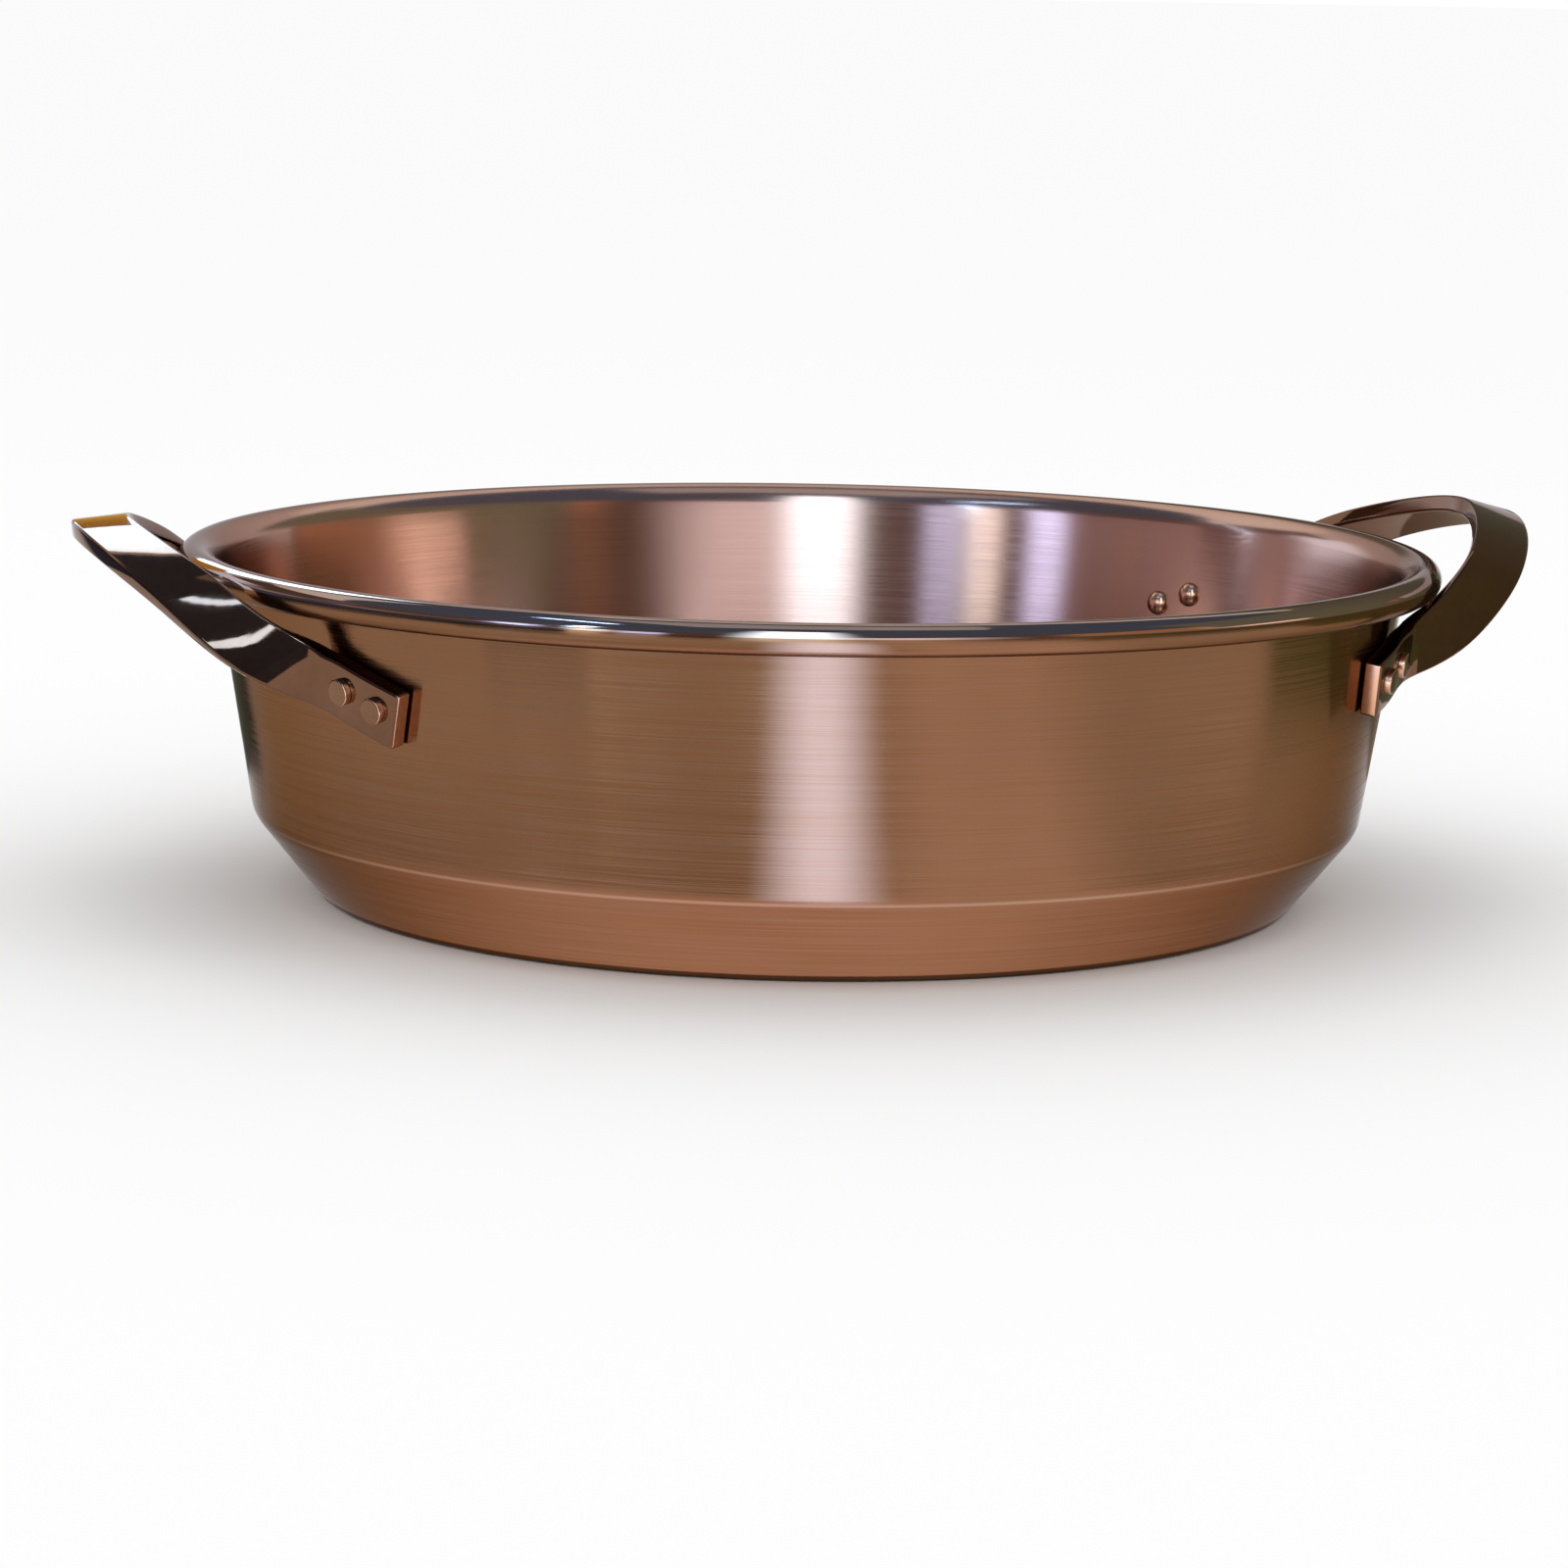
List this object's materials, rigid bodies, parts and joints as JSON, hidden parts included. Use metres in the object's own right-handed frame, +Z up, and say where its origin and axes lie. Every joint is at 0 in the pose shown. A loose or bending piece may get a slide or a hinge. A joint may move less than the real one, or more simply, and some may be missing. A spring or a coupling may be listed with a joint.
{
  "type": "copper pan",
  "caption": "Wide, shallow round copper pan with a flat base, a conical foot, a flared wall with a wired rim and riveted strap loop handles for lifting.",
  "frame": {"origin": "middle of the flat base's underside, on the bowl's axis", "axes": "+Z up along the bowl's axis; the handles face -X and +X; -Y is the side nearest to the picture's camera"},
  "size_m": [0.5401, 0.46, 0.143],
  "materials": {
    "bowl_copper": "brushed copper, satin inside",
    "wire_steel": "plain drawn wire",
    "strap_copper": "polished copper",
    "rivet_copper": "polished copper"
  },
  "bodies": {
    "root": {"bowl": "bowl_copper", "rim_wire": "wire_steel", "left_handle": "strap_copper", "right_handle": "strap_copper", "left_front_low_rivet": "rivet_copper", "left_front_high_rivet": "rivet_copper", "left_back_low_rivet": "rivet_copper", "left_back_high_rivet": "rivet_copper", "right_front_low_rivet": "rivet_copper", "right_front_high_rivet": "rivet_copper", "right_back_low_rivet": "rivet_copper", "right_back_high_rivet": "rivet_copper"}
  },
  "joints": []
}
